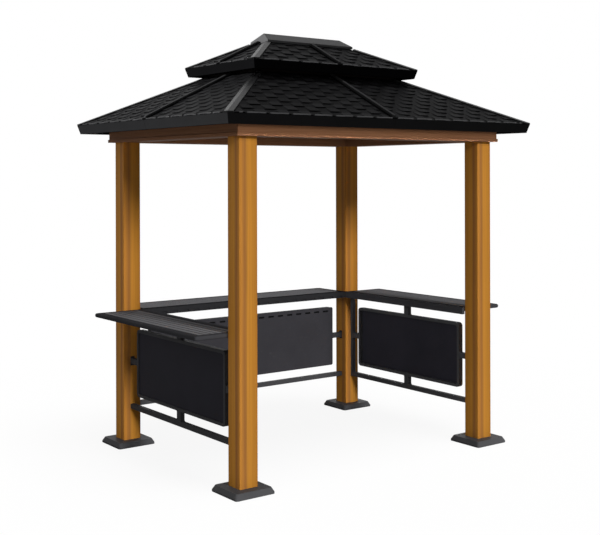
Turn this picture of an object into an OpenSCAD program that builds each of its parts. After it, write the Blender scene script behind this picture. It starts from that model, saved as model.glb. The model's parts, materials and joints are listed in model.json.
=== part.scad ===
/* [Posts and feet] */
// Distance between post centres, left to right
post_span_w = 1930; // [1700:10:2600]
// Distance between post centres, front to back
post_span_d = 1424; // [1300:2:2000]
// Side of a square post
post_side = 125; // [90:1:150]
// Radius of a post's long edges
post_edge_r = 6; // [2:1:15]
// Clear height from the ground to the underside of the beams
clear_h = 2055; // [1900:5:2400]
// Side of a square foot cover
foot_side = 270; // [220:5:340]
// Height of a foot cover
foot_h = 37; // [20:1:50]
// Height of the upright edge below the foot cover's bevel
foot_edge_h = 11; // [5:1:15]
// Width of the foot cover's bevel, seen from above
foot_bevel = 14; // [5:1:30]
// Corner radius of a foot cover
foot_corner_r = 16; // [5:1:30]

/* [Beams] */
// How far a beam's lip stands out past the face of the posts
beam_overhang = 36; // [20:1:60]
// Height of a beam, lip included
beam_h = 115; // [90:1:160]
// Height of the lip along a beam's lower edge
beam_lip_h = 20; // [10:1:30]
// How far the lip stands out from the beam's face
beam_lip_out = 6; // [2:1:12]

/* [Lower roof] */
// How far the lower eave stands out past the beam lip at the left and right
eave_overhang_w = 160; // [120:5:260]
// How far the lower eave stands out past the beam lip at the front and back
eave_overhang_d = 147; // [120:1:260]
// Height of the lower eave above the underside of the beams
eave_rise = 118; // [110:1:160]
// Roof pitch in degrees, both tiers
roof_pitch = 26; // [22:0.5:32]
// Thickness of a pressed roof panel
panel_t = 12; // [8:1:18]
// Gap between the two halves of a roof plane, under its seam strip
panel_joint = 4; // [1:0.5:8]
// Height of the fascia along the lower eave
fascia_h = 58; // [50:1:80]
// Tilt of the fascia from upright, in degrees
fascia_tilt = 16; // [0:1:25]
// Thickness of the folded fascia sheet
fascia_t = 3; // [2:0.5:5]
// Width of the fascia's return along its lower edge
fascia_return = 22; // [12:1:40]
// Gap between the two halves of a lower fascia
fascia_joint = 1.5; // [0.5:0.5:4]

/* [Upper roof] */
// How far the upper eave lies inside the lower eave, seen from above
tier_inset = 540; // [480:5:600]
// Gap between the lower roof and the upper fascia, measured upright
tier_gap = 58; // [40:1:80]
// Height of the fascia along the upper eave
upper_fascia_h = 55; // [40:1:80]
// How far the vent frame lies inside the upper eave, seen from above
vent_inset = 115; // [90:5:150]

/* [Roof trim] */
// Width of a hip cap, both legs together
hip_cap_w = 54; // [40:1:90]
// Width of a seam strip
seam_w = 42; // [25:1:70]
// Height that the caps and strips stand above the panels
trim_h = 9; // [5:1:15]
// Half length of the ridge cap's lower edge beyond the ridge end
ridge_cap_over = 94; // [60:2:120]
// Half width of the ridge cap
ridge_cap_half_w = 102; // [70:2:140]
// Height of the ridge cap's upright edge
ridge_cap_edge = 15; // [8:1:25]
// Run of the ridge cap's steep ends, seen from above
ridge_cap_end = 38; // [20:2:55]
// Height of the ridge cap's crest above the ridge of the panels
ridge_cap_rise = 24; // [12:1:30]
// Gap between the ridge cap's lower edge and the panels, measured upright
ridge_cap_gap = 5; // [2:0.5:8]

/* [Roof framing] */
// Width of a rafter
rafter_w = 40; // [30:1:60]
// Depth of a rafter, square to its slope
rafter_depth = 70; // [64:1:90]
// Thickness of a vent frame bar
vent_bar = 30; // [20:1:45]
// Height of the opening between the vent frame's two bars
vent_open_h = 55; // [30:1:70]
// Number of uprights in each long side of the vent frame
vent_uprights = 4; // [3:1:7]
// Number of uprights in each short side of the vent frame
vent_end_uprights = 3; // [2:1:5]

/* [Shelves] */
// Height of the shelf tops above the ground
shelf_top = 916; // [850:1:1100]
// Thickness of a shelf at its outer edge
shelf_t = 27; // [22:1:45]
// Radius of a shelf's outer edge
shelf_edge_r = 10; // [2:1:11]
// Height of the apron along a shelf's inner edge
apron_h = 45; // [30:1:60]
// Thickness of the apron
apron_t = 22; // [14:1:40]
// Depth of the slots pressed into the back shelf's apron
apron_slot_depth = 8; // [2:1:12]
// Height of the middle of these slots above the apron's lower edge
apron_slot_rise = 10; // [8:1:20]
// Reach of a shelf outside the line of post centres
shelf_out = 280; // [220:5:330]
// Reach of a shelf inside the line of post centres
shelf_in = 85; // [75:5:120]
// Width of a shelf's outer rim
rim_out_w = 40; // [30:1:60]
// Width of a shelf's inner rim
rim_in_w = 60; // [35:1:70]
// Width of a shelf's end rims
rim_end_w = 40; // [30:1:60]
// Radius of a shelf's corners
shelf_corner_r = 14; // [4:1:25]
// Number of slats in a shelf
slat_count = 6; // [2:1:8]
// Gap between slats
slat_gap = 6; // [4:1:14]
// Thickness of a slat
slat_t = 10; // [6:1:14]
// Width of a cross bearer under the slats
bearer_w = 60; // [20:1:90]

/* [Panels and rails] */
// Height of a panel frame's lower edge above the ground
frame_bottom = 345; // [330:1:400]
// Gap between a panel frame and the shelf above it
frame_gap_top = 93; // [60:1:130]
// Gap between a panel frame and the post face at each end
frame_gap_end = 100; // [60:1:140]
// Width of a side panel frame's bars
frame_bar = 20; // [15:1:55]
// Width of the back panel frame's bars, behind its sheet
back_frame_bar = 40; // [25:1:60]
// Thickness of a panel frame
frame_t = 36; // [25:1:50]
// Radius of a panel frame's corners
frame_corner_r = 26; // [15:1:40]
// Thickness of a panel sheet
sheet_t = 4; // [2:0.5:10]
// How far a side sheet lies behind the outer face of its frame
sheet_recess = 6; // [3:1:12]
// Corner radius of the back sheet
back_sheet_r = 14; // [4:1:25]
// Length of a slot in the back sheet and in the back shelf's apron
slot_l = 50; // [20:1:70]
// Height of a slot
slot_h = 13; // [6:1:20]
// Distance from one slot to the next
slot_pitch = 86; // [75:1:140]
// Distance from the back sheet's top edge to the middle of its slots
slot_drop = 29; // [15:1:60]
// Width of the stubs above and below a panel frame
stub_w = 46; // [40:1:90]
// Height of the stubs beside a panel frame
stub_h = 38; // [25:1:60]
// Thickness of the stubs, rails and uprights
rail_t = 30; // [20:1:45]
// Radius of the fillets where a stub meets what it joins
stub_fillet = 12; // [5:1:20]
// Height of a lower rail's underside above the ground
rail_bottom = 248; // [150:1:270]
// Height of a lower rail
rail_h = 32; // [25:1:60]
// Width of the upright beside one post of each side unit
upright_w = 24; // [15:1:40]

/* [Hidden] */
$fn = 32;
// Clearance where one piece seats against another
seat_gap = 0.3;
// Half the mitre joint between two strips
mitre_gap = 0.3;
// Tail of a hip rafter short of the corner of the eave, along one side
hip_tail = 45;
// Depth of the bar of an upper rafter
upper_rafter_depth = 32;
// Outward margin that makes cutting bodies reach past what they cut
past = 50;
// Size of a thin slab that stands for a line or a plane inside a hull
sliver = 1;
// Angle between the facets of a shelf's round edge
edge_step = 30;
// A hip runs across the corner of a square, so its run is a side times this
diagonal = sqrt(2);

// Half spans and the reach of each tier
half_w = post_span_w / 2;
half_d = post_span_d / 2;
post_half = post_side / 2;
lip_out = post_half + beam_overhang;
eave_w = half_w + lip_out + eave_overhang_w;
eave_d = half_d + lip_out + eave_overhang_d;
upper_w = eave_w - tier_inset;
upper_d = eave_d - tier_inset;
vent_w = upper_w - vent_inset;
vent_d = upper_d - vent_inset;

// Heights
slope = tan(roof_pitch);
panel_drop = panel_t / cos(roof_pitch);
eave_z = clear_h + eave_rise;
upper_eave_z = eave_z + slope * tier_inset + tier_gap + upper_fascia_h;
ridge_z = upper_eave_z + slope * upper_d;
ridge_half = upper_w - upper_d;
rafter_drop = rafter_depth / cos(roof_pitch);
shelf_bottom = shelf_top - shelf_t;
shelf_depth = shelf_out + shelf_in;
deck_depth = shelf_depth - rim_out_w - rim_in_w;
frame_top = shelf_bottom - frame_gap_top;
rail_top = rail_bottom + rail_h;
slot_r = slot_h / 3;
// Radius of a shelf's outer edge, held within the shelf's thickness
edge_r = min(shelf_edge_r, (shelf_t - sliver) / 2);

// Slope and bend of the hips, and the top of the vent frame under the upper roof
hip_pitch = atan(slope / diagonal);
hip_bend = acos(1 / (1 + slope * slope)) / 2;
vent_top = upper_eave_z + slope * vent_inset - panel_drop - seat_gap;
vent_base = eave_z + slope * (eave_d - vent_d) - panel_drop - rafter_drop;

// The box is centred front to back between the front eave and the back shelf
back_reach = max(eave_d, half_d + shelf_out);
centre_shift = (eave_d - back_reach) / 2;

// Colours
WOOD = [0.72, 0.48, 0.20];
BEAM = [0.30, 0.20, 0.13];
ROOF = [0.12, 0.12, 0.13];
TRIM = [0.30, 0.30, 0.31];
STEEL = [0.20, 0.20, 0.21];
SHEET = [0.11, 0.11, 0.13];

// A rectangle with round corners, centred
module rounded_rect(w, d, r) {
    square([w - 2 * r, d], center = true);
    square([w, d - 2 * r], center = true);
    for (x = [-1, 1], y = [-1, 1])
        translate([x * (w / 2 - r), y * (d / 2 - r)])
            circle(r);
}

// Moves the building so that its box is centred on the origin
module placed() {
    translate([0, centre_shift, 0])
        children();
}

// Turns a piece drawn for the front to another side
function side_angle(side) = side == "front" ? 0 : side == "right" ? 90 : side == "back" ? 180 : -90;
function is_end(side) = side == "left" || side == "right";
module on_side(side) {
    placed()
        rotate(side_angle(side))
            children();
}

// Post feet and posts
module at_post(x, y) {
    placed()
        translate([x * half_w, y * half_d, 0])
            children();
}

module foot(x, y) {
    color(STEEL)
        at_post(x, y)
            hull() {
                linear_extrude(foot_edge_h)
                    rounded_rect(foot_side, foot_side, foot_corner_r);
                linear_extrude(foot_h)
                    rounded_rect(foot_side - 2 * foot_bevel, foot_side - 2 * foot_bevel, foot_corner_r);
            }
}

module post(x, y) {
    color(WOOD)
        at_post(x, y)
            translate([0, 0, foot_h])
                linear_extrude(clear_h - foot_h)
                    rounded_rect(post_side, post_side, post_edge_r);
}

// Plan of one side's mitred strip, from its outer line inwards
module mitred_plan(outer_w, outer_d, run) {
    w = outer_w - mitre_gap;
    polygon([
        [-w, -outer_d],
        [w, -outer_d],
        [w - run, -outer_d + run],
        [-w + run, -outer_d + run]
    ]);
}

// Plan of one half of such a strip, from the joint in its middle to one mitre
module mitred_half(x, outer_w, outer_d, run, joint) {
    w = outer_w - mitre_gap;
    polygon([
        [x * joint / 2, -outer_d],
        [x * w, -outer_d],
        [x * (w - run), -outer_d + run],
        [x * joint / 2, -outer_d + run]
    ]);
}

module beam(side) {
    w = (is_end(side) ? half_d : half_w) + lip_out;
    d = (is_end(side) ? half_w : half_d) + lip_out;
    run = lip_out + post_half;
    color(BEAM)
        on_side(side) {
            translate([0, 0, clear_h])
                linear_extrude(beam_lip_h)
                    mitred_plan(w, d, run);
            translate([0, 0, clear_h])
                linear_extrude(beam_h)
                    mitred_plan(w - beam_lip_out, d - beam_lip_out, run - beam_lip_out);
        }
}

// Side view of a rafter: u runs inwards from the eave, z is the height
function fascia_inner(z) = fascia_t / cos(fascia_tilt) + (eave_z - z) * tan(fascia_tilt);
module rafter_profile(run, rise, drop_top) {
    z0 = eave_z - panel_drop - drop_top;
    tail_z = eave_z - fascia_h + fascia_t + seat_gap;
    tail_u = (tail_z - z0 + rafter_drop) / rise;
    polygon([
        [fascia_inner(z0) + seat_gap, z0 + rise * fascia_inner(z0)],
        [run, z0 + rise * run],
        [run, z0 + rise * run - rafter_drop],
        [tail_u, tail_z],
        [fascia_inner(tail_z) + seat_gap, tail_z]
    ]);
}

// Stands a side view upright, so that its run points inwards from the front
module stand_profile(width) {
    rotate([90, 0, 90])
        linear_extrude(width, center = true)
            children();
}

module beam_seat() {
    translate([0, 0, clear_h])
        linear_extrude(beam_h + seat_gap)
            square([2 * (half_w + lip_out), 2 * (half_d + lip_out)], center = true);
}

module mid_rafter(side) {
    d = is_end(side) ? eave_w : eave_d;
    run = eave_d - vent_d - seat_gap;
    rotate(side_angle(side))
        translate([0, -d, 0])
            stand_profile(rafter_w)
                rafter_profile(run, slope, seat_gap);
}

// Turn that points a side view inwards from a corner along the hip
function hip_turn(x, y) = x * y > 0 ? (x > 0 ? 135 : -45) : (x > 0 ? 45 : -135);

// A hip rafter lies on the diagonal and just clears the panels at its two upper edges
module hip_rafter(x, y) {
    run = (eave_d - vent_d - seat_gap) * diagonal - rafter_w / 2;
    tail = hip_tail * diagonal;
    rise = slope / diagonal;
    z0 = eave_z - panel_drop - seat_gap - slope * rafter_w / 2 / diagonal;
    translate([x * eave_w, y * eave_d, 0])
        rotate(hip_turn(x, y))
            stand_profile(rafter_w)
                polygon([
                    [tail, z0 + rise * tail],
                    [run, z0 + rise * run],
                    [run, z0 + rise * run - rafter_drop],
                    [tail + past, z0 + rise * (tail + past) - rafter_drop],
                    [tail, z0 + rise * tail - rafter_drop / 2]
                ]);
}

module lower_rafters() {
    color(BEAM)
        placed()
            difference() {
                union() {
                    for (side = ["front", "back", "left", "right"])
                        mid_rafter(side);
                    for (x = [-1, 1], y = [-1, 1])
                        hip_rafter(x, y);
                }
                beam_seat();
            }
}

// One side of the vent frame: two bars with short uprights between them
module vent_side(length, count) {
    difference() {
        translate([-length / 2, 0, vent_base])
            cube([length, vent_bar, vent_top - vent_base]);
        for (i = [0 : count - 2]) {
            bay = (length - vent_bar) / (count - 1);
            translate([-length / 2 + vent_bar + i * bay, -past, vent_top - vent_open_h - vent_bar])
                cube([bay - vent_bar, vent_bar + 2 * past, vent_open_h]);
        }
    }
}

module vent_frame_long() {
    color(BEAM)
        for (side = ["front", "back"])
            on_side(side)
                translate([0, -vent_d, 0])
                    vent_side(2 * vent_w, vent_uprights);
}

module vent_frame_short() {
    color(BEAM)
        for (side = ["left", "right"])
            on_side(side)
                translate([0, -vent_w, 0])
                    vent_side(2 * (vent_d - vent_bar - seat_gap), vent_end_uprights);
}

// Upper hip rafters stand on the vent frame's corners and meet the ridge bar
module upper_rafters() {
    rise = slope / diagonal;
    drop = upper_rafter_depth / cos(roof_pitch);
    z0 = upper_eave_z - panel_drop - seat_gap - slope * rafter_w / 2 / diagonal;
    top_run = upper_d * diagonal - rafter_w;
    start = (vent_inset + vent_bar) * diagonal + rafter_w / 2 + seat_gap;
    ridge_top = ridge_z - panel_drop - slope * rafter_w / 2 - seat_gap;
    color(BEAM)
        placed() {
            for (x = [-1, 1], y = [-1, 1])
                translate([x * upper_w, y * upper_d, 0])
                    rotate(hip_turn(x, y))
                        stand_profile(rafter_w)
                            polygon([
                                [start, z0 + rise * start],
                                [top_run, z0 + rise * top_run],
                                [top_run, z0 + rise * top_run - drop],
                                [start, z0 + rise * start - drop]
                            ]);
            translate([-ridge_half, -rafter_w / 2, ridge_top - upper_rafter_depth])
                cube([2 * ridge_half, rafter_w, upper_rafter_depth]);
        }
}

// The two halves of a sloping roof plane for the front side: the hip edges stop short under the hip caps
module roof_panel(w, d, run, z) {
    setback = fascia_t / cos(fascia_tilt) + seat_gap;
    hip_pull = panel_t + seat_gap;
    top_run = run - panel_t * sin(roof_pitch) - seat_gap;
    top_w = max(w - top_run - hip_pull, panel_joint);
    translate([0, -d, z])
        rotate([roof_pitch, 0, 0])
            translate([0, 0, -panel_t])
                linear_extrude(panel_t)
                    for (x = [-1, 1])
                        polygon([
                            [x * panel_joint / 2, setback],
                            [x * (w - setback - hip_pull), setback],
                            [x * top_w, top_run / cos(roof_pitch)],
                            [x * panel_joint / 2, top_run / cos(roof_pitch)]
                        ]);
}

module lower_roof(side) {
    w = is_end(side) ? eave_d : eave_w;
    d = is_end(side) ? eave_w : eave_d;
    color(ROOF)
        on_side(side)
            roof_panel(w, d, eave_d - vent_d, eave_z);
}

module upper_roof(side) {
    w = is_end(side) ? upper_d : upper_w;
    d = is_end(side) ? upper_w : upper_d;
    hip_pull = panel_t + seat_gap;
    run = is_end(side) ? upper_d - hip_pull : upper_d;
    color(ROOF)
        on_side(side)
            roof_panel(w, d, run, upper_eave_z);
}

// Fascia of the front side: a tilted sheet with a return along its lower edge, cut to a plan
function fascia_run(h) = h * tan(fascia_tilt) + fascia_return;
module fascia_strip(w, d, z, h) {
    inset = h * tan(fascia_tilt);
    thick = fascia_t / cos(fascia_tilt);
    intersection() {
        rotate([90, 0, 90])
            linear_extrude(2 * w, center = true)
                polygon([
                    [-d, z],
                    [-d + thick, z],
                    [-d + thick + inset - fascia_t * tan(fascia_tilt), z - h + fascia_t],
                    [-d + inset + fascia_return, z - h + fascia_t],
                    [-d + inset + fascia_return, z - h],
                    [-d + inset, z - h]
                ]);
        translate([0, 0, z - h])
            linear_extrude(h)
                children();
    }
}

module lower_fascia(side) {
    w = is_end(side) ? eave_d : eave_w;
    d = is_end(side) ? eave_w : eave_d;
    color(ROOF)
        on_side(side)
            fascia_strip(w, d, eave_z, fascia_h)
                for (x = [-1, 1])
                    mitred_half(x, w, d, fascia_run(fascia_h), fascia_joint);
}

module upper_fascia() {
    color(ROOF)
        for (side = ["front", "back", "left", "right"]) {
            w = is_end(side) ? upper_d : upper_w;
            d = is_end(side) ? upper_w : upper_d;
            on_side(side)
                fascia_strip(w, d, upper_eave_z, upper_fascia_h)
                    mitred_plan(w, d, fascia_run(upper_fascia_h));
        }
}

// A bent cap along a hip, from a top point of the hip down to the eave corner
module hip_cap(w, d, z, run) {
    leg = hip_cap_w / 2;
    fall = leg * tan(hip_bend);
    lift = seat_gap / cos(hip_bend);
    length = run * diagonal / cos(hip_pitch);
    for (x = [-1, 1], y = [-1, 1])
        intersection() {
            translate([x * (w - run), y * (d - run), z + slope * run])
                rotate(hip_turn(x, y))
                    rotate([90 + hip_pitch, 0, 0])
                        linear_extrude(length + past)
                            polygon([
                                [0, lift],
                                [leg, lift - fall],
                                [leg, lift - fall + trim_h],
                                [0, lift + trim_h],
                                [-leg, lift - fall + trim_h],
                                [-leg, lift - fall]
                            ]);
            translate([0, 0, z - past])
                linear_extrude(slope * run + 3 * past)
                    square([2 * w, 2 * d], center = true);
        }
}

module hip_caps() {
    color(TRIM)
        placed() {
            hip_cap(eave_w, eave_d, eave_z, eave_d - vent_d - seat_gap);
            hip_cap(upper_w, upper_d, upper_eave_z, upper_d - ridge_cap_half_w);
        }
}

// A flat strip down the middle of a roof plane, its lower end flush with the eave
module seam_strip(d, z, run) {
    start = (trim_h + seat_gap) * tan(roof_pitch);
    length = run / cos(roof_pitch) - start;
    translate([0, -d, z])
        rotate([roof_pitch, 0, 0])
            translate([-seam_w / 2, start, seat_gap])
                cube([seam_w, length, trim_h]);
}

module seam_strips() {
    color(TRIM)
        for (side = ["front", "back", "left", "right"])
            on_side(side) {
                lower_d = is_end(side) ? eave_w : eave_d;
                upper_reach = is_end(side) ? upper_w : upper_d;
                cap_reach = is_end(side) ? ridge_half + ridge_cap_over : ridge_cap_half_w;
                seam_strip(lower_d, eave_z, eave_d - vent_d - seat_gap);
                seam_strip(upper_reach, upper_eave_z, upper_reach - cap_reach);
            }
}

// A flat rectangular slab, centred on the upright axis
module slab(w, d, z, h) {
    translate([0, 0, z])
        linear_extrude(h)
            square([w, d], center = true);
}

// The ridge cap: a small hipped cover with steep ends that sits over the ridge
module ridge_cap() {
    half_l = ridge_half + ridge_cap_over;
    edge_z = ridge_z - slope * ridge_cap_half_w + ridge_cap_gap;
    crest_z = ridge_z + ridge_cap_rise;
    color(TRIM)
        placed()
            difference() {
                hull() {
                    slab(2 * half_l, 2 * ridge_cap_half_w, edge_z, ridge_cap_edge);
                    slab(2 * (half_l - ridge_cap_end), 2 * sliver, crest_z - sliver, sliver);
                }
                hull() {
                    slab(2 * upper_w, 2 * upper_d, upper_eave_z - sliver + seat_gap, sliver);
                    slab(2 * ridge_half, sliver, ridge_z - sliver + seat_gap, sliver);
                }
            }
}

// Shelves span between two posts and reach outwards and inwards of them
function shelf_span(side) = 2 * (is_end(side) ? half_d : half_w) - post_side - 2 * seat_gap;
function shelf_line(side) = is_end(side) ? half_w : half_d;

// A shelf's outline with its round edge, before the deck is cut out
module shelf_blank(w) {
    hull()
        for (a = [0 : edge_step : 90]) {
            rise = edge_r * (1 - sin(a));
            inset = edge_r * (1 - cos(a));
            translate([0, (shelf_in - shelf_out) / 2, rise])
                linear_extrude(shelf_t - 2 * rise)
                    rounded_rect(w - 2 * inset, shelf_depth - 2 * inset, shelf_corner_r);
        }
}

// A row of slot outlines along X, as many as fit in a length
module slot_row(length) {
    steps = floor((length - 2 * slot_l) / slot_pitch);
    for (i = [0 : steps])
        translate([(i - steps / 2) * slot_pitch, 0])
            rounded_rect(slot_l, slot_h, slot_r);
}

// The upright apron along a shelf's inner edge
module apron(w, slotted) {
    difference() {
        translate([-w / 2, shelf_in - apron_t, shelf_t - apron_h])
            cube([w, apron_t, apron_h]);
        if (slotted)
            translate([0, shelf_in + past, shelf_t - apron_h + apron_slot_rise])
                rotate([90, 0, 0])
                    linear_extrude(past + apron_slot_depth)
                        slot_row(w);
    }
}

// A shelf's rim and apron, with cross bearers for the slats
module shelf(side) {
    span = shelf_span(side);
    deck_y = -shelf_out + rim_out_w;
    color(STEEL)
        on_side(side)
            translate([0, -shelf_line(side), shelf_bottom]) {
                difference() {
                    shelf_blank(span);
                    translate([-span / 2 + rim_end_w, deck_y, -past])
                        cube([span - 2 * rim_end_w, deck_depth, shelf_t + 2 * past]);
                }
                apron(span, side == "back");
                for (i = [-1, 0, 1])
                    translate([i * (span / 2 - rim_end_w - bearer_w / 2) - bearer_w / 2, deck_y, 0])
                        cube([bearer_w, deck_depth, shelf_t - slat_t - seat_gap]);
            }
}

module shelf_slats() {
    slat_w = (deck_depth - (slat_count + 1) * slat_gap) / slat_count;
    color(STEEL)
        for (side = ["left", "back", "right"])
            on_side(side)
                translate([0, -shelf_line(side) - shelf_out + rim_out_w, shelf_top - slat_t]) {
                    length = shelf_span(side) - 2 * rim_end_w - 2 * seat_gap;
                    for (i = [0 : slat_count - 1])
                        translate([-length / 2, slat_gap + i * (slat_w + slat_gap), 0])
                            cube([length, slat_w, slat_t]);
                }
}

// Outline of a stub with filleted feet, from one edge to another along +Y
module stub_outline(w, length) {
    difference() {
        translate([-w / 2 - stub_fillet, 0])
            square([w + 2 * stub_fillet, length]);
        for (x = [-1, 1]) {
            translate([x * (w / 2 + stub_fillet), length / 2])
                square([2 * stub_fillet, max(length - 2 * stub_fillet, sliver)], center = true);
            for (y = [stub_fillet, length - stub_fillet])
                translate([x * (w / 2 + stub_fillet), y])
                    circle(stub_fillet);
        }
    }
}

// A panel frame with its four stubs, drawn flat and then stood upright
function frame_half(side) = shelf_span(side) / 2 - frame_gap_end;
function has_upright(side, x) = is_end(side) && x > 0;
function stub_reach(side, x) = frame_gap_end - (has_upright(side, x) ? upright_w + seat_gap : 0);

module panel_frame(side) {
    w = 2 * frame_half(side);
    h = frame_top - frame_bottom;
    bar = is_end(side) ? frame_bar : back_frame_bar;
    color(STEEL)
        on_side(side)
            translate([0, -shelf_line(side), 0]) {
                translate([0, 0, (frame_top + frame_bottom) / 2])
                    rotate([90, 0, 0])
                        linear_extrude(frame_t, center = true)
                            difference() {
                                rounded_rect(w, h, frame_corner_r);
                                rounded_rect(w - 2 * bar, h - 2 * bar, frame_corner_r / 2);
                            }
                rotate([90, 0, 0])
                    linear_extrude(rail_t, center = true) {
                        translate([0, frame_top])
                            stub_outline(stub_w, frame_gap_top - seat_gap);
                        translate([0, rail_top + seat_gap])
                            stub_outline(stub_w, frame_bottom - rail_top - seat_gap);
                        for (x = [-1, 1])
                            translate([x * frame_half(side), (frame_top + frame_bottom) / 2])
                                rotate(-90 * x)
                                    stub_outline(stub_h, stub_reach(side, x));
                    }
            }
}

// A side sheet sits inside its frame, near the outer face
module side_sheet(side) {
    w = 2 * (frame_half(side) - frame_bar) - 2 * seat_gap;
    h = frame_top - frame_bottom - 2 * frame_bar - 2 * seat_gap;
    y = -shelf_line(side) - frame_t / 2 + sheet_recess + sheet_t;
    color(SHEET)
        on_side(side)
            translate([0, y, (frame_top + frame_bottom) / 2])
                rotate([90, 0, 0])
                    linear_extrude(sheet_t)
                        rounded_rect(w, h, frame_corner_r / 2);
}

// The back sheet covers its frame's inner face and has a row of slots along its top
module back_sheet() {
    w = 2 * frame_half("back");
    h = frame_top - frame_bottom;
    y = -shelf_line("back") + frame_t / 2 + seat_gap + sheet_t;
    color(SHEET)
        on_side("back")
            translate([0, y, (frame_top + frame_bottom) / 2])
                rotate([90, 0, 0])
                    linear_extrude(sheet_t)
                        difference() {
                            rounded_rect(w, h, back_sheet_r);
                            translate([0, h / 2 - slot_drop])
                                slot_row(w);
                        }
}

// A lower rail between two posts, with the upright of a side unit at one end
module lower_rail(side) {
    span = shelf_span(side);
    color(STEEL)
        on_side(side)
            translate([0, -shelf_line(side) - rail_t / 2, rail_bottom]) {
                translate([-span / 2, 0, 0])
                    cube([span, rail_t, rail_h]);
                for (x = [-1, 1])
                    if (has_upright(side, x))
                        translate([x * (span - upright_w) / 2 - upright_w / 2, 0, 0])
                            cube([upright_w, rail_t, shelf_bottom - seat_gap - rail_bottom]);
            }
}

foot(-1, -1);  // foot_front_left
foot(1, -1);  // foot_front_right
foot(-1, 1);  // foot_back_left
foot(1, 1);  // foot_back_right
post(-1, -1);  // post_front_left
post(1, -1);  // post_front_right
post(-1, 1);  // post_back_left
post(1, 1);  // post_back_right
beam("front");  // beam_front
beam("back");  // beam_back
beam("left");  // beam_left
beam("right");  // beam_right
lower_rafters();
vent_frame_long();
vent_frame_short();
upper_rafters();
lower_roof("front");  // lower_roof_front
lower_roof("back");  // lower_roof_back
lower_roof("left");  // lower_roof_left
lower_roof("right");  // lower_roof_right
lower_fascia("front");  // lower_fascia_front
lower_fascia("back");  // lower_fascia_back
lower_fascia("left");  // lower_fascia_left
lower_fascia("right");  // lower_fascia_right
upper_roof("front");  // upper_roof_front
upper_roof("back");  // upper_roof_back
upper_roof("left");  // upper_roof_left
upper_roof("right");  // upper_roof_right
upper_fascia();
hip_caps();
seam_strips();
ridge_cap();
shelf("left");  // shelf_left
shelf("back");  // shelf_back
shelf("right");  // shelf_right
shelf_slats();
panel_frame("left");  // panel_frame_left
panel_frame("back");  // panel_frame_back
panel_frame("right");  // panel_frame_right
side_sheet("left");  // panel_sheet_left
back_sheet();  // panel_sheet_back
side_sheet("right");  // panel_sheet_right
lower_rail("left");  // side_rail_left
lower_rail("right");  // side_rail_right
lower_rail("back");  // back_rail
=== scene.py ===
"""Looks of the grill gazebo: finishes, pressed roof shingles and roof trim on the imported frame."""
import json
import math

import bpy
from mathutils import Matrix, Vector

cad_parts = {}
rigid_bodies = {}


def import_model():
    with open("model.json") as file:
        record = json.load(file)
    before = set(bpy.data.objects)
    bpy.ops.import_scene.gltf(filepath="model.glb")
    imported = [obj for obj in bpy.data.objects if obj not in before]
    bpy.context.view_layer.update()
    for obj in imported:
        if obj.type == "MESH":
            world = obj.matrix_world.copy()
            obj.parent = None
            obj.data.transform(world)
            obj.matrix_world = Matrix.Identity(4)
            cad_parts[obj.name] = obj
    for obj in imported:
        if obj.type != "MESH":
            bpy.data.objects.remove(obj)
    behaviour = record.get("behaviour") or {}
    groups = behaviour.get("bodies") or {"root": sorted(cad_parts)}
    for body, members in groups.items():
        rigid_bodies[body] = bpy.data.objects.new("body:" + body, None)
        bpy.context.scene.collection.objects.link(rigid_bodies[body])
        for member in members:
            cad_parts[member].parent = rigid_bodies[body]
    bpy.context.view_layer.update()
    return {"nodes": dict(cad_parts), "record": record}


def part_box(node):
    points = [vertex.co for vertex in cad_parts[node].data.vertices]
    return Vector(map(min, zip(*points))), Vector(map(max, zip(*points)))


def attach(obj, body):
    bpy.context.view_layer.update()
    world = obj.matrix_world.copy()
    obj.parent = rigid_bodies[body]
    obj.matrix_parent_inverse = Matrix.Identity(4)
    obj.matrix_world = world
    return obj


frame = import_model()
NODES = frame["nodes"]
SLOTS = {part["node"]: part["material_slot"] for part in frame["record"]["subparts"]}
SIDES = ("front", "right", "back", "left")

# Camera, from the photograph's frame of 600 by 535 pixels
IMAGE_W, IMAGE_H = 600, 535
SENSOR_W = 36.0
FOCAL_PX = 1059.0
CENTRE_PX = (307.0, 174.9)
CAMERA_AT = Vector((-4.3397, -5.8445, 1.8316))
CAMERA_YAW = math.radians(36.906)
CAMERA_ROLL = math.radians(-0.129)

# Roof shingles, in metres; steps and profiles are shares of a length and a height
ROOF_PITCH = math.radians(26)
COURSE = 0.0633
TAB_PITCH = 0.157
TAB_W = 0.092
TAB_FLARE = 0.010
STAGGERS = (0.0, 0.37, 0.84, 0.18, 0.55, 0.95, 0.3, 0.7)
HALF_SHIFT = 3
BUTT_H = 0.0056
TIP_H = 0.0014
NOSE = 0.004
NOSE_STEPS = ((0.0, 0.62), (0.3, 0.9), (1.0, 1.0))
BODY_STEPS = 3
EAVE_START = 0.004
TOP_CLEAR = 0.003
HIP_CAP_W = 0.054
HIP_GAP = 0.0013
HIP_CLEAR = HIP_CAP_W / math.sqrt(2) + HIP_GAP
SEAM_CLEAR = 0.0225

# Roof trim, in metres
LIP_W = 0.007
LIP_H = 0.0068
LIP_GAP = 0.03
LIP_STEPS = ((0.0, 0.5), (0.3, 1.0), (1.0, 1.0))
RIB_W = 0.024
RIB_H = 0.019
RIB_STEPS = ((0.0, 0.5), (1.0, 0.9), (3.0, 1.0))
RIB_PROFILE = ((1.0, 0.0), (1.0, 0.85), (0.8, 1.0))

# Stage: the floor lies just under the feet, and its shadow fades into the white around it
FLOOR_HALF = 40.0
FLOOR_DROP = 0.0005
FLOOR_PALE = 0.9
FLOOR_BOUNCE = 0.3
FADE_FROM, FADE_TO = 1.0, 4.5
FADE_SHARE = 0.92
WHITE = (1.0, 1.0, 1.0, 1.0)
AMBIENT = 0.09


def show(name, data):
    """Puts a new object into the scene."""
    made = bpy.data.objects.new(name, data)
    bpy.context.scene.collection.objects.link(made)
    return made


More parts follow.
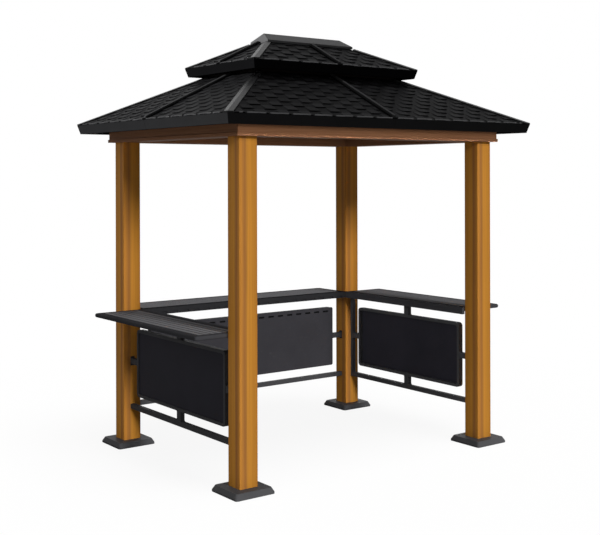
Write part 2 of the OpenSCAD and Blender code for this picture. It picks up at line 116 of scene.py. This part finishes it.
def add_camera():
    data = bpy.data.cameras.new("camera")
    data.sensor_width = SENSOR_W
    data.lens = FOCAL_PX / IMAGE_W * SENSOR_W
    data.shift_x = (IMAGE_W / 2 - CENTRE_PX[0]) / IMAGE_W
    data.shift_y = (CENTRE_PX[1] - IMAGE_H / 2) / IMAGE_W
    camera = show("camera", data)
    camera.location = CAMERA_AT
    level = Matrix.Rotation(-CAMERA_YAW, 3, "Z") @ Matrix.Rotation(math.pi / 2, 3, "X")
    camera.rotation_euler = (level @ Matrix.Rotation(CAMERA_ROLL, 3, "Z")).to_euler()
    bpy.context.scene.camera = camera


add_camera()


# Places of the posts and the back sheet, read from the frame
def middle(node):
    low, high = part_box(node)
    return (Vector(low) + Vector(high)) / 2


POST_LOW, POST_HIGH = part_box("post_front_left")
POST_HALF = (POST_HIGH[0] - POST_LOW[0]) / 2
POST_X = abs(middle("post_front_left").x)
CENTRE_Y = (middle("post_front_left").y + middle("post_back_left").y) / 2
POST_Y = middle("post_back_left").y - CENTRE_Y
BACK_SHEET_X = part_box("panel_sheet_back")[1][0]


# Node graphs
def linear(r, g, b):
    """An sRGB colour of 0 to 255 as linear values with alpha."""
    def one(v):
        v = v / 255
        return v / 12.92 if v <= 0.04045 else ((v + 0.055) / 1.055) ** 2.4
    return (one(r), one(g), one(b), 1.0)


class Tree:
    """Short calls that build one node tree."""

    def __init__(self, owner):
        owner.use_nodes = True
        self.tree = owner.node_tree

    def add(self, kind, inputs=None, **settings):
        made = self.tree.nodes.new("ShaderNode" + kind)
        for key, value in settings.items():
            setattr(made, key, value)
        for key, value in (inputs or {}).items():
            self.feed(made.inputs[key], value)
        return made

    def feed(self, socket, value):
        if isinstance(value, bpy.types.NodeSocket):
            self.tree.links.new(value, socket)
        else:
            socket.default_value = value

    def math(self, operation, a, b=0.0):
        return self.add("Math", {0: a, 1: b}, operation=operation).outputs[0]

    def remap(self, value, low, high, to_low=0.0, to_high=1.0):
        settings = {0: value, 1: low, 2: high, 3: to_low, 4: to_high}
        return self.add("MapRange", settings, clamp=True).outputs["Result"]

    def mixed(self, share, first, second):
        return self.add("MixShader", {0: share, 1: first, 2: second}).outputs["Shader"]


class Graph(Tree):
    """The node tree of one material of the object."""

    def __init__(self, name, rough, spec):
        self.material = bpy.data.materials.new(name)
        super().__init__(self.material)
        self.shader = self.tree.nodes["Principled BSDF"]
        self.shader.inputs["Roughness"].default_value = rough
        self.shader.inputs["Specular IOR Level"].default_value = spec
        self.place = self.add("TexCoord").outputs["Object"]
        self.geometry = self.add("NewGeometry").outputs
        self.normal = self.geometry["Normal"]

    def split(self, vector):
        parts = self.add("SeparateXYZ", {0: vector}).outputs
        return parts["X"], parts["Y"], parts["Z"]

    def join(self, x, y, z):
        return self.add("CombineXYZ", {"X": x, "Y": y, "Z": z}).outputs[0]

    def stretch(self, vector, factors):
        return self.add("VectorMath", {0: vector, 1: factors}, operation="MULTIPLY").outputs[0]

    def noise(self, vector, scale, detail=2.0, distortion=0.0):
        settings = {"Vector": vector, "Scale": scale, "Detail": detail, "Distortion": distortion}
        return self.add("TexNoise", settings).outputs["Fac"]

    def ramp(self, value, stops):
        made = self.add("ValToRGB", {"Fac": value})
        points = made.color_ramp.elements
        while len(points) < len(stops):
            points.new(1.0)
        for point, (position, colour) in zip(points, stops):
            point.position = position
            point.color = linear(*colour)
        return made.outputs["Color"]

    def blend(self, share, a, b):
        return self.add("Mix", {0: share, 6: a, 7: b}, data_type="RGBA").outputs[2]

    def choose(self, second, a, b):
        """a, or b where second is one."""
        return self.math("ADD", a, self.math("MULTIPLY", second, self.math("SUBTRACT", b, a)))

    def dimmed(self, colour, value):
        return self.add("HueSaturation", {"Color": colour, "Value": value}).outputs["Color"]

    def total(self, base, *terms):
        """base plus each (socket, weight), centred on a half."""
        value = base
        for socket, weight in terms:
            share = self.math("MULTIPLY", self.math("SUBTRACT", socket, 0.5), weight)
            value = self.math("ADD", share, value)
        return value

    def raised(self, value, mask, amount):
        return self.math("ADD", value, self.math("MULTIPLY", mask, amount))

    def soft_edges(self, radius):
        return self.add("Bevel", {"Radius": radius}, samples=4).outputs["Normal"]

    def edge_mask(self, rounded, reach):
        """One along the piece's edges and nothing on its flats."""
        facing = self.add("VectorMath", {0: rounded, 1: self.normal}, operation="DOT_PRODUCT")
        return self.remap(facing.outputs["Value"], 1.0, 1.0 - reach)

    def finish(self, colour, rough, height, strength, distance, normal=None):
        self.feed(self.shader.inputs["Base Color"], colour)
        self.feed(self.shader.inputs["Roughness"], rough)
        settings = {"Height": height, "Strength": strength, "Distance": distance}
        if normal is not None:
            settings["Normal"] = normal
        bump = self.add("Bump", settings)
        self.feed(self.shader.inputs["Normal"], bump.outputs["Normal"])
        return self.material


# Materials
COAT_EDGE_R = 0.003
COAT_BUMP = 0.0006
STEEL_EDGE_R = 0.0035
STEEL_BUMP = 0.0004
SHINGLE_BUMP = 0.0008
COVER_EDGE = 0.004


def post_coat():
    """Wood-grain coating on the posts: broad bands and fine streaks along the post."""
    g = Graph("post_coat", 0.5, 0.06)
    x, y, z = g.split(g.place)
    y = g.math("SUBTRACT", y, CENTRE_Y)
    side_x = g.math("SIGN", x)
    side_y = g.math("SIGN", y)
    local_x = g.math("SUBTRACT", x, g.math("MULTIPLY", side_x, POST_X))
    local_y = g.math("SUBTRACT", y, g.math("MULTIPLY", side_y, POST_Y))
    sideways = g.math("GREATER_THAN", g.math("ABSOLUTE", g.split(g.normal)[0]), 0.5)
    across = g.choose(sideways, local_x, local_y)
    own = g.math("ADD", g.math("MULTIPLY", side_x, 5.0), g.math("MULTIPLY", side_y, 9.0))

    def streaks(across_scale, along_scale, detail, distortion=0.0):
        place = g.join(g.math("MULTIPLY", across, across_scale), own, g.math("MULTIPLY", z, along_scale))
        return g.noise(place, 1.0, detail, distortion)

    sway = g.noise(g.join(own, sideways, z), 1.3, 1.0)
    swayed = g.raised(across, g.math("SUBTRACT", sway, 0.5), 0.014)
    bands = g.ramp(g.remap(swayed, -POST_HALF, POST_HALF), [
        (0.00, (188, 126, 52)),
        (0.10, (194, 130, 56)),
        (0.20, (176, 118, 56)),
        (0.30, (160, 106, 56)),
        (0.46, (197, 135, 53)),
        (0.72, (189, 128, 49)),
        (0.88, (182, 122, 47)),
        (1.00, (174, 114, 44)),
    ])
    coarse = streaks(95.0, 1.1, 3.0, 0.3)
    fine = streaks(420.0, 4.0, 2.0)
    patch = g.noise(g.join(across, own, z), 2.2, 2.0)
    rounded = g.soft_edges(COAT_EDGE_R)
    value = g.total(1.0, (coarse, 0.42), (fine, 0.20), (patch, 0.12))
    value = g.raised(value, g.edge_mask(rounded, 0.25), 0.10)
    rough = g.total(0.48, (coarse, 0.2))
    return g.finish(g.dimmed(bands, value), rough, fine, 0.25, COAT_BUMP, rounded)


def brown_coat(name, pale, deep):
    """Brown wood-grain coating with grain along each beam or rafter."""
    grain_along, grain_across = 2.2, 110.0
    g = Graph(name, 0.5, 0.04)
    x, y, z = g.split(g.place)
    y = g.math("SUBTRACT", y, CENTRE_Y)
    beyond_x = g.math("SUBTRACT", g.math("ABSOLUTE", x), POST_X)
    beyond_y = g.math("SUBTRACT", g.math("ABSOLUTE", y), POST_Y)
    lengthwise = g.math("GREATER_THAN", beyond_y, beyond_x)
    along = g.choose(lengthwise, y, x)
    aside = g.choose(lengthwise, x, y)
    grain_at = g.stretch(g.join(along, aside, z), (grain_along, grain_across, grain_across))
    coarse = g.noise(grain_at, 1.0, 3.0, 0.4)
    fine = g.noise(grain_at, 4.5, 2.0)
    patch = g.noise(g.place, 2.5, 2.0)
    rounded = g.soft_edges(COAT_EDGE_R)
    colour = g.blend(coarse, linear(*deep), linear(*pale))
    value = g.total(1.0, (fine, 0.25), (patch, 0.2))
    value = g.raised(value, g.edge_mask(rounded, 0.25), 0.18)
    return g.finish(g.dimmed(colour, value), g.total(0.5, (coarse, 0.2)), fine, 0.2, COAT_BUMP, rounded)


def powder_coat(name, colour, rough, spec, wear_or_edge_shade=0.5, edge_r=STEEL_EDGE_R, painted_cover_shade=None):
    """Powder-coated steel: cloudy tint, fine grain, faint scuffs, edges worn pale or, below zero, darkened
    as painted shade.

    painted_cover_shade is the factor of painted shade on the part behind a cover, and the cover's half
    width.
    """
    g = Graph(name, rough, spec)
    cloud = g.noise(g.place, 5.0, 4.0)
    grain = g.noise(g.place, 650.0, 2.0)
    scuff = g.remap(g.noise(g.stretch(g.place, (26.0, 26.0, 70.0)), 1.0, 5.0, 0.6), 0.60, 0.78)
    rounded = g.soft_edges(edge_r)
    edge = g.math("MULTIPLY", g.edge_mask(rounded, 0.2), g.remap(cloud, 0.3, 0.6))
    value = g.total(1.0, (cloud, 0.35), (grain, 0.35))
    value = g.raised(value, scuff, 0.18)
    # edges lighter as wear, or darker as painted shade where the amount is below zero
    value = g.raised(value, edge, wear_or_edge_shade)
    # painted shade: darkens the part that lies behind a cover
    if painted_cover_shade is not None:
        shade, half = painted_cover_shade
        aside = g.math("ABSOLUTE", g.split(g.place)[0])
        value = g.math("MULTIPLY", value, g.remap(aside, half, half + COVER_EDGE, shade, 1.0))
    return g.finish(g.dimmed(linear(*colour), value), g.total(rough, (cloud, 0.15), (scuff, 0.1)),
                    grain, 0.3, STEEL_BUMP, rounded)


def shingle_coat(name, colour, butt_shade_tone):
    """Stone-grained roof coating: coarse speckle, a tint of its own on each tab, and painted shade on the
    upright butts and sides, of randomly varying strength.
    """
    g = Graph(name, 0.4, 0.004)
    own = g.geometry["Random Per Island"]
    speckle = g.noise(g.place, 420.0, 3.0)
    cloud = g.noise(g.place, 3.0, 3.0)
    value = g.total(1.0, (own, 0.5), (speckle, 0.7), (cloud, 0.35))
    # painted shade: upright faces of the tabs, the butts and sides, are darkened towards a shade tone by a
    # random amount
    upright = g.remap(g.split(g.normal)[2], 0.75, 0.35)
    butt_shade_mask = g.math("MULTIPLY", upright, g.remap(g.noise(g.place, 60.0, 2.0), 0.3, 0.55, 0.5, 1.0))
    tone = g.blend(butt_shade_mask, linear(*colour), linear(*butt_shade_tone))
    return g.finish(g.dimmed(tone, value), g.total(0.4, (speckle, 0.2)), speckle, 0.3, SHINGLE_BUMP)


# the second colour is the painted shade on the tabs' upright butts and sides; on roof_panel it equals the
# first and paints nothing
SHINGLES = shingle_coat("roof_shingle", (32, 32, 33), (10, 10, 11))
# the lips' pale tone is a painted highlight of glints along the eaves
GLINT_LIPS = powder_coat("eave_glint_lip", (66, 66, 67), 0.5, 0.01, wear_or_edge_shade=0.3)
RIBS = powder_coat("seam_rib", (66, 66, 67), 0.5, 0.003, wear_or_edge_shade=0.2)
MATERIALS = {
    "post_coat": post_coat(),
    "beam_coat": brown_coat("beam_coat", (152, 108, 78), (112, 74, 48)),
    "frame_coat": brown_coat("frame_coat", (84, 60, 44), (52, 36, 26)),
    "roof_panel": shingle_coat("roof_panel", (25, 25, 26), (25, 25, 26)),
    "roof_edge": powder_coat("roof_edge", (40, 40, 41), 0.6, 0.0, wear_or_edge_shade=0.2),
    "roof_trim": powder_coat("roof_trim", (100, 100, 101), 0.5, 0.02, wear_or_edge_shade=0.25),
    "foot_steel": powder_coat("foot_steel", (82, 82, 84), 0.5, 0.03),
    "shelf_steel": powder_coat("shelf_steel", (64, 64, 67), 0.6, 0.0),
    "rail_steel": powder_coat("rail_steel", (72, 72, 74), 0.5, 0.02),
    "panel_sheet": powder_coat("panel_sheet", (48, 47, 54), 0.5, 0.03, wear_or_edge_shade=0.2),
}
NODE_MATERIALS = {
    "hip_caps": powder_coat("hip_cap", (36, 36, 37), 0.3, 0.05, wear_or_edge_shade=0.25),
    "seam_strips": powder_coat("seam_strip", (32, 32, 33), 0.5, 0.003, wear_or_edge_shade=0.25),
    "vent_frame_long": brown_coat("vent_coat", (34, 28, 24), (22, 18, 15)),
    # a darker tone than the lower fascias' roof_edge: painted shade on the upper fascia
    "upper_fascia": powder_coat("upper_fascia", (20, 20, 21), 0.6, 0.0, wear_or_edge_shade=0.2),
    "shelf_back": powder_coat("shelf_back", (46, 46, 48), 0.6, 0.0),
    # the slat edges are darkened as painted shade in the gaps between slats
    "shelf_slats": powder_coat("shelf_slat", (128, 128, 131), 0.6, 0.0, wear_or_edge_shade=-0.9, edge_r=0.009),
    "panel_sheet_back": powder_coat("panel_sheet_back", (59, 58, 62), 0.5, 0.03, wear_or_edge_shade=0.2),
    # the frame behind the back sheet is darkened as painted shade
    "panel_frame_back": powder_coat("panel_frame_back", (72, 72, 74), 0.5, 0.02, wear_or_edge_shade=0.2,
                                    painted_cover_shade=(0.12, BACK_SHEET_X)),
}
NODE_MATERIALS["vent_frame_short"] = NODE_MATERIALS["vent_frame_long"]

for node, slot in SLOTS.items():
    shown = NODES[node]
    shown.data.materials.clear()
    shown.data.materials.append(NODE_MATERIALS.get(node, MATERIALS[slot]))


# Meshes made from many small closed solids
class Pile:
    """Collects small solids and turns them into one mesh piece."""

    def __init__(self):
        self.points = []
        self.faces = []

    def lofted(self, rings):
        """A closed solid through rings of equally many points, capped at both ends."""
        start = len(self.points)
        size = len(rings[0])
        for ring in rings:
            self.points.extend(ring)
        for k in range(len(rings) - 1):
            for i in range(size):
                a = start + k * size + i
                b = start + k * size + (i + 1) % size
                self.faces.append((a, b, b + size, a + size))
        last = start + (len(rings) - 1) * size
        self.faces.append(tuple(start + i for i in reversed(range(size))))
        self.faces.append(tuple(last + i for i in range(size)))

    def piece(self, name, material, slot):
        mesh = bpy.data.meshes.new(name)
        mesh.from_pydata([tuple(p) for p in self.points], [], self.faces)
        mesh.validate()
        mesh.materials.append(material)
        made = show(name, mesh)
        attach(made, "root")


class Slope:
    """One roof plane: points by their place along the eave, up the slope and above the surface."""

    def __init__(self, side, half_w, reach, eave_z):
        turn = Matrix.Rotation(SIDES.index(side) * math.pi / 2, 3, "Z")
        self.half_w = half_w
        self.origin = turn @ Vector((0, -reach, 0)) + Vector((0, CENTRE_Y, eave_z))
        self.along = turn @ Vector((1, 0, 0))
        self.up = turn @ Vector((0, math.cos(ROOF_PITCH), math.sin(ROOF_PITCH)))
        self.out = turn @ Vector((0, -math.sin(ROOF_PITCH), math.cos(ROOF_PITCH)))

    def point(self, u, s, h):
        return self.origin + self.along * u + self.up * s + self.out * h

    def ring(self, outline, s, mirror=1):
        """An outline of places along the eave and heights, set across the slope at s."""
        points = [self.point(mirror * u, s, h) for u, h in outline]
        return points if mirror < 0 else points[::-1]

    def hip_limit(self, s):
        return self.half_w - s * math.cos(ROOF_PITCH) - HIP_CLEAR


def add_tab(pile, slope, mirror, u0, u1, s0, s1):
    """One wedge-shaped tab with a round nose, cut off along the hip."""
    u0 = max(u0, SEAM_CLEAR)
    s1 = min(s1, (slope.half_w - HIP_CLEAR - u0) / math.cos(ROOF_PITCH) - NOSE)
    if u1 - u0 < NOSE or s1 - s0 < 3 * NOSE:
        return
    body = s1 - s0 - NOSE
    taper = TIP_H - BUTT_H
    stations = [(s0 + NOSE * along, BUTT_H * up) for along, up in NOSE_STEPS]
    for k in range(1, BODY_STEPS + 1):
        stations.append((s0 + NOSE + body * k / BODY_STEPS, BUTT_H + taper * k / BODY_STEPS))
    rings = []
    for s, h in stations:
        edge = min(u1, slope.hip_limit(s))
        flare = min(TAB_FLARE, (edge - u0) / 3)
        rings.append(slope.ring([(u0, 0.0), (edge, 0.0), (edge - flare, h), (u0 + flare, h)], s, mirror))
    pile.lofted(rings)


def add_shingles(name, slope, top):
    """Staggered courses of tabs on one roof plane, each half counted from its seam."""
    pile = Pile()
    for course in range(math.ceil((top - EAVE_START) / COURSE)):
        s0 = EAVE_START + course * COURSE
        s1 = min(s0 + COURSE, top)
        for mirror in (-1, 1):
            row = course + (HALF_SHIFT if mirror > 0 else 0)
            stagger = TAB_PITCH * STAGGERS[row % len(STAGGERS)]
            for k in range(-1, math.ceil(slope.half_w / TAB_PITCH)):
                u0 = k * TAB_PITCH + stagger
                add_tab(pile, slope, mirror, u0, u0 + TAB_W, s0, s1)
    pile.piece(name, SHINGLES, "roof_panel")


def add_lip(name, slope):
    """A folded lip of the roof sheets along one eave, in short lengths, pale as a painted highlight of
    glints along the eave.
    """
    pile = Pile()
    end = slope.half_w - 2 * HIP_CLEAR
    for k in range(math.ceil(end / TAB_PITCH)):
        u0 = k * TAB_PITCH + SEAM_CLEAR
        u1 = min(u0 + TAB_PITCH - LIP_GAP, end)
        for mirror in (-1, 1):
            rings = []
            for along, up in LIP_STEPS:
                outline = [(u0, 0.0), (u1, 0.0), (u1, LIP_H * up), (u0, LIP_H * up)]
                rings.append(slope.ring(outline, EAVE_START + LIP_W * along, mirror))
            pile.lofted(rings)
    pile.piece(name, GLINT_LIPS, "roof_trim")


def add_rib(name, slope, top):
    """The standing fold over the seam in the middle of one roof plane."""
    pile = Pile()
    start = EAVE_START + RIB_H * math.tan(ROOF_PITCH)
    stations = [(start + NOSE * along, RIB_H * up) for along, up in RIB_STEPS] + [(top, RIB_H)]
    rings = []
    for s, h in stations:
        right = [(RIB_W / 2 * aside, h * up) for aside, up in RIB_PROFILE]
        left = [(-u, height) for u, height in reversed(right)]
        rings.append(slope.ring(right + left, s))
    pile.lofted(rings)
    pile.piece(name, RIBS, "roof_trim")


def tier_eave(edges):
    """Half the width and depth of a tier's eave and its height, from its fascia nodes."""
    boxes = [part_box(edge) for edge in edges]
    low = [min(box[0][i] for box in boxes) for i in range(3)]
    high = [max(box[1][i] for box in boxes) for i in range(3)]
    return (high[0] - low[0]) / 2, (high[1] - low[1]) / 2, high[2]


def add_roof():
    """Shingles and trim on the four lower and the four upper planes."""
    cap_low, cap_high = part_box("ridge_cap")
    cap_end, cap_half = cap_high[0], (cap_high[1] - cap_low[1]) / 2
    tiers = {
        "lower": tier_eave([f"lower_fascia_{side}" for side in SIDES]),
        "upper": tier_eave(["upper_fascia"]),
    }
    for tier, (eave_w, eave_d, eave_z) in tiers.items():
        for side in SIDES:
            end = side in ("left", "right")
            half_w, reach = (eave_d, eave_w) if end else (eave_w, eave_d)
            if tier == "upper":
                run = reach - (cap_end if end else cap_half)
            else:
                run = (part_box(f"lower_roof_{side}")[1][2] - eave_z) / math.tan(ROOF_PITCH)
            top = run / math.cos(ROOF_PITCH) - TOP_CLEAR
            slope = Slope(side, half_w, reach, eave_z)
            add_shingles(f"shingles_{tier}_{side}", slope, top)
            add_lip(f"eave_lip_{tier}_{side}", slope)
            add_rib(f"seam_rib_{tier}_{side}", slope, top)


add_roof()


# Stage and light
def add_floor():
    """A pale floor that takes the shadow, and that the camera sees as nearly white."""
    mesh = bpy.data.meshes.new("floor")
    corners = ((-1, -1), (1, -1), (1, 1), (-1, 1))
    mesh.from_pydata([(x * FLOOR_HALF, y * FLOOR_HALF, -FLOOR_DROP) for x, y in corners], [], [(0, 1, 2, 3)])
    floor = show("floor", mesh)
    material = bpy.data.materials.new("floor")
    g = Tree(material)
    g.tree.nodes.clear()
    camera_ray = g.add("LightPath").outputs["Is Camera Ray"]
    tone = g.remap(camera_ray, 0.0, 1.0, FLOOR_BOUNCE, FLOOR_PALE)
    diffuse = g.add("BsdfDiffuse", {"Color": tone}).outputs["BSDF"]
    white = g.add("Emission", {"Strength": 1.0}).outputs["Emission"]
    place = g.add("NewGeometry").outputs["Position"]
    reach = g.add("VectorMath", {0: place}, operation="LENGTH").outputs["Value"]
    fade = g.remap(reach, FADE_FROM, FADE_TO, FADE_SHARE, 1.0)
    g.add("OutputMaterial", {"Surface": g.mixed(g.math("MULTIPLY", fade, camera_ray), diffuse, white)})
    mesh.materials.append(material)
    return floor


def add_world():
    """A soft even light, seen as white by the camera and in gloss."""
    world = bpy.data.worlds.new("world")
    bpy.context.scene.world = world
    g = Tree(world)
    g.tree.nodes.clear()
    soft = g.add("Background", {"Color": WHITE, "Strength": AMBIENT}).outputs["Background"]
    white = g.add("Background", {"Color": WHITE, "Strength": 1.0}).outputs["Background"]
    path = g.add("LightPath").outputs
    seen = g.math("MAXIMUM", path["Is Camera Ray"], path["Is Glossy Ray"])
    seen = g.math("MAXIMUM", seen, path["Is Transmission Ray"])
    g.add("OutputWorld", {"Surface": g.mixed(seen, soft, white)})


def add_sun(name, towards, strength, angle, pieces, state):
    """A sun linked to some pieces: INCLUDE lights only them, EXCLUDE all else."""
    data = bpy.data.lights.new(name, "SUN")
    data.energy = strength
    data.angle = math.radians(angle)
    lamp = show(name, data)
    lamp.rotation_euler = Vector(towards).to_track_quat("Z", "Y").to_euler()
    lamp.visible_glossy = False
    receivers = bpy.data.collections.new(name + "_receivers")
    for piece in pieces:
        receivers.objects.link(piece)
    for entry in receivers.collection_objects:
        entry.light_linking.link_state = state
    lamp.light_linking.receiver_collection = receivers


def light_object():
    """Lamps for groups of pieces; the front, right and back eave lips are lit with the rest."""
    roof_slots = ("roof_panel", "roof_edge", "roof_trim")
    roof = [NODES[node] for node, slot in SLOTS.items() if slot in roof_slots]
    roof += [item for item in bpy.data.objects if item.name.startswith(("shingles_", "seam_rib_"))]
    left_roof = [item for item in roof if "left" in item.name]
    left_roof += [NODES[node] for node in ("ridge_cap", "upper_fascia")]
    left_roof += [bpy.data.objects[f"eave_lip_{tier}_left"] for tier in ("lower", "upper")]
    other_roof = [item for item in roof if item not in left_roof]
    beams = [NODES[f"beam_{side}"] for side in SIDES]
    posts = [shown for node, shown in NODES.items() if node.startswith("post_")]
    right_unit = [NODES[f"{node}_right"] for node in ("shelf", "panel_sheet", "panel_frame", "side_rail")]
    floor = add_floor()
    apart = roof + [floor]
    add_sun("key", (0.02, -0.93, 0.37), 2.75, 10.0, apart + posts, "EXCLUDE")
    add_sun("post_key", (-0.13, -0.91, 0.38), 2.45, 14.0, posts, "INCLUDE")
    add_sun("fill", (-0.88, -0.1, 0.46), 0.34, 40.0, apart, "EXCLUDE")
    add_sun("inner_fill", (-0.95, -0.2, 0.38), 0.75, 20.0, right_unit, "INCLUDE")
    add_sun("back_light", (0.6, 0.8, 0.14), 2.3, 20.0, apart, "EXCLUDE")
    add_sun("beam_light", (0.0, -1.0, 0.05), 1.9, 20.0, beams, "INCLUDE")
    add_sun("left_roof_light", (-0.96, 0.05, 0.28), 3.7, 12.0, left_roof, "INCLUDE")
    add_sun("roof_light", (0.2, 0.25, 0.95), 1.8, 12.0, other_roof, "INCLUDE")
    add_sun("floor_light", (0.05, -0.3, 1.0), 3.1, 30.0, [floor], "INCLUDE")


add_world()
light_object()

bpy.context.scene.view_settings.view_transform = "Standard"
